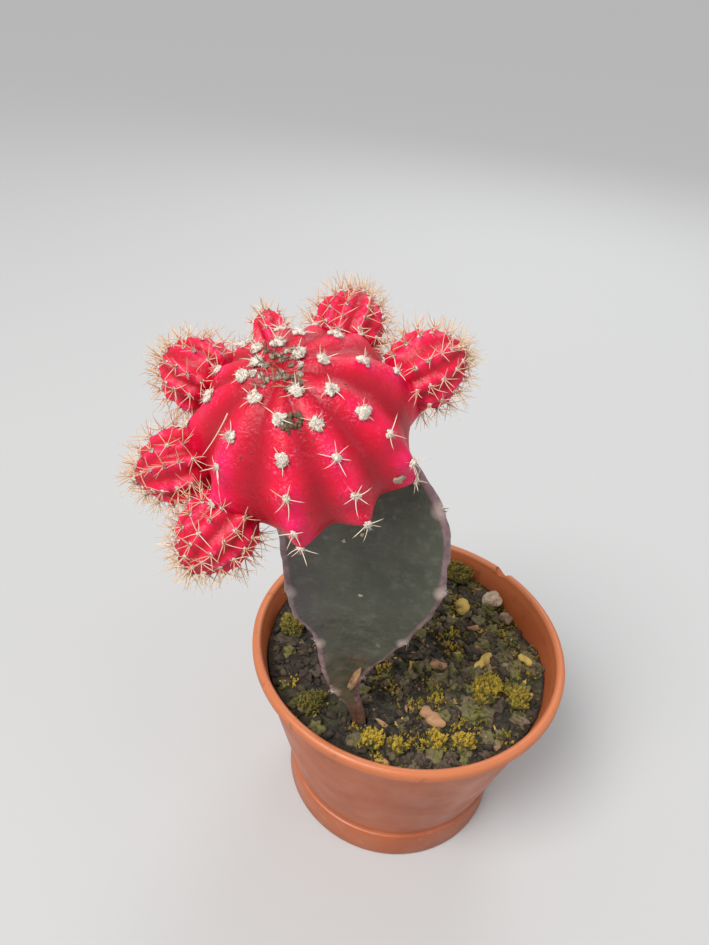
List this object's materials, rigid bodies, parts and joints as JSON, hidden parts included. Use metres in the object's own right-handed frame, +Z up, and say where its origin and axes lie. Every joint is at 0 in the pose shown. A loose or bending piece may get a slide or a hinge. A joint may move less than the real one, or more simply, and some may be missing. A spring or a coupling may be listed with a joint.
{
  "type": "potted moon cactus",
  "caption": "Red ribbed globe cactus with small offsets, grafted on a three-winged green cactus stem, planted off centre in a small tapered plastic pot of mossy mix",
  "frame": {"origin": "centre of the pot's foot, on the surface that the pot stands on", "axes": "+Z up along the pot's axis; the scion leans out over -Y, and the offsets are mostly on its -X side"},
  "size_m": [0.0828, 0.0744, 0.1281],
  "materials": {
    "pot_plastic": "satin moulded terracotta-orange plastic, lightly scuffed and dusty",
    "mix": "matt, dark, damp peat and bark crumbs",
    "rootstock_skin": "waxy dark grey-green skin with pale bloom and corky purple-brown wing margins",
    "scion_skin": "satin crimson skin with fine pale grain on the rib crests",
    "offset_skin": "satin crimson skin, pinker at the growing tips",
    "wool": "matt cream wool of the areoles, and the grey-brown dried wool of the crown",
    "spines": "satin straw-coloured to pinkish spines with darker tips",
    "moss": "matt yellow-green moss cushions",
    "bark": "matt dry bark and husk",
    "gravel": "matt tan gravel"
  },
  "bodies": {
    "root": {"pot": "pot_plastic", "potting_mix": "mix", "rootstock": "rootstock_skin", "scion": "scion_skin", "offset_left_upper": "offset_skin", "offset_left_middle": "offset_skin", "offset_left_lower": "offset_skin", "offset_back": "offset_skin", "offset_right": "offset_skin", "offset_small": "offset_skin", "moss_front_left": "moss", "moss_front": "moss", "moss_front_right": "moss", "moss_front_far_right": "moss", "moss_right": "moss", "moss_right_wall": "moss", "moss_back": "moss", "moss_left": "moss", "moss_left_front": "moss", "bark_chip_front": "bark", "bark_chip_middle": "bark", "bark_chip_back": "bark", "husk_curl": "bark", "husk_right": "bark", "stone_pale": "gravel", "stone_tan": "gravel"}
  },
  "joints": []
}
